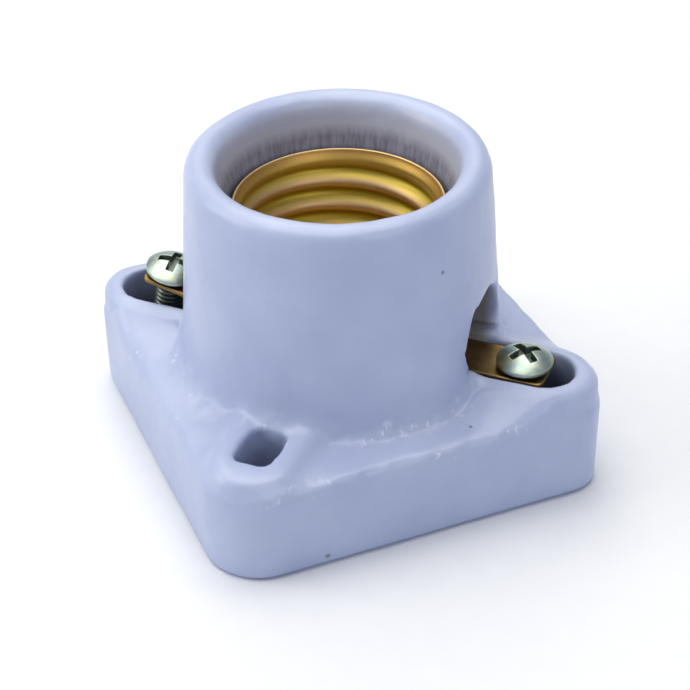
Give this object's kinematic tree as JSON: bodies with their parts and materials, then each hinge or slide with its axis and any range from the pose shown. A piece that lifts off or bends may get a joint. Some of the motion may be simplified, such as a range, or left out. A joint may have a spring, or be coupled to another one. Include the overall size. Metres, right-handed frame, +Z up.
{
  "type": "lamp holder",
  "caption": "Surface-mounted porcelain lamp holder with a square base, a round tower, a brass screw shell and two screw terminals.",
  "frame": {"origin": "centre of the underside, on the plane it rests on", "axes": "+Z up along the lamp's axis, +X through the two terminals towards the centre contact's terminal, +Y through the two mounting slots"},
  "size_m": [0.0716, 0.0694, 0.0422],
  "materials": {
    "glazed_porcelain": "glossy glaze, bluish white",
    "shell_brass": "drawn sheet, bright",
    "strap_brass": "stamped sheet, dulled",
    "spring_brass": "rolled spring sheet, satin",
    "zinc_plated_steel": "bright zinc plated",
    "fixing_steel": "zinc plated"
  },
  "bodies": {
    "holder": {"porcelain_body": "glazed_porcelain", "screw_shell": "shell_brass", "centre_strap": "strap_brass", "shell_strap": "strap_brass", "shell_screw_1": "fixing_steel", "shell_washer_1": "fixing_steel", "shell_nut_1": "fixing_steel", "shell_screw_2": "fixing_steel", "shell_washer_2": "fixing_steel", "shell_nut_2": "fixing_steel", "shell_screw_3": "fixing_steel", "shell_washer_3": "fixing_steel", "shell_nut_3": "fixing_steel", "centre_screw": "fixing_steel", "centre_washer": "fixing_steel", "centre_nut": "fixing_steel"},
    "left_terminal": {"terminal_screw_left": "zinc_plated_steel"},
    "right_terminal": {"terminal_screw_right": "zinc_plated_steel"},
    "contact": {"centre_contact": "spring_brass"}
  },
  "joints": [
    {"name": "left_terminal_turn", "type": "hinge", "parent": "holder", "child": "left_terminal", "pos_m": [-0.02491, 0, 0.01923], "axis": [0.2079, 0, 0.9781], "range_deg": [-250, 1080]},
    {"name": "right_terminal_turn", "type": "hinge", "parent": "holder", "child": "right_terminal", "pos_m": [0.0256, 0, 0.0167], "axis": [0, 0, 1], "range_deg": [-720, 1080]},
    {"name": "contact_press", "type": "hinge", "parent": "holder", "child": "contact", "pos_m": [0.0024, 0, 0.0163], "axis": [0, -1, 0], "range_deg": [0, 15], "stiffness_Nm_per_rad": 0.17, "deforming": ["centre_contact"]}
  ]
}
